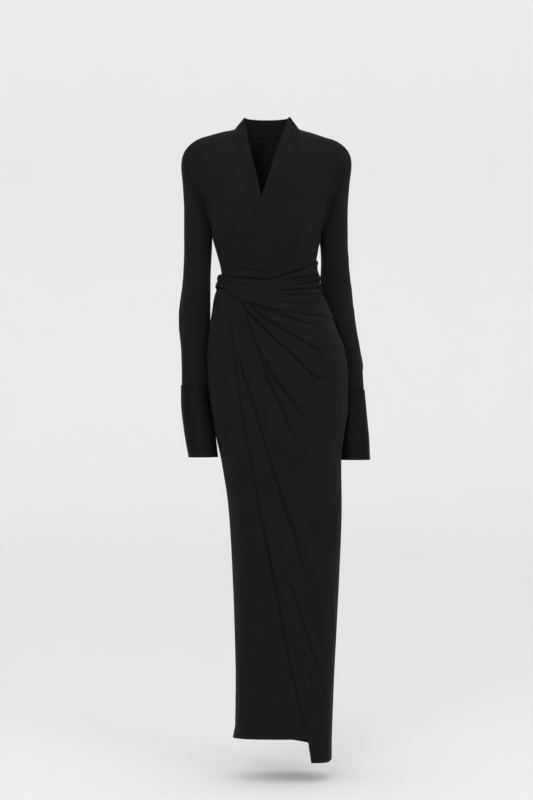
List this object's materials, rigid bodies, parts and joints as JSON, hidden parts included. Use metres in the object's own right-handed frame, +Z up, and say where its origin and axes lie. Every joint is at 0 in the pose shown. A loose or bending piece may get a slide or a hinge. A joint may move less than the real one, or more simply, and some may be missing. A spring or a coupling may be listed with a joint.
{
  "type": "wrap dress",
  "caption": "Long jersey wrap dress with a V neck, low neck stand, long sleeves with deep cuffs, and a draped waist gathered at one side into a slanting wrap skirt.",
  "frame": {"origin": "between the wearer's shoulders, level with the side neck points, where the dress is held up", "axes": "+Z up, the front of the dress faces -Y, +X is the wearer's left"},
  "size_m": [0.4518, 0.2554, 1.5072],
  "materials": {
    "jersey": "matt black viscose jersey with a soft sheen on its folds",
    "cuff_cloth": "smooth black crepe, a little glossier than the jersey"
  },
  "bodies": {
    "root": {"back_bodice": "jersey", "front_right_bodice": "jersey", "front_left_bodice": "jersey", "back_neck_band": "jersey", "sleeve_right": "jersey", "sleeve_left": "jersey", "cuff_right": "cuff_cloth", "cuff_left": "cuff_cloth", "waist_drape_front": "jersey", "waist_drape_back": "jersey", "side_knot": "jersey", "back_skirt": "jersey", "front_right_skirt": "jersey", "front_left_skirt": "jersey"}
  },
  "joints": []
}
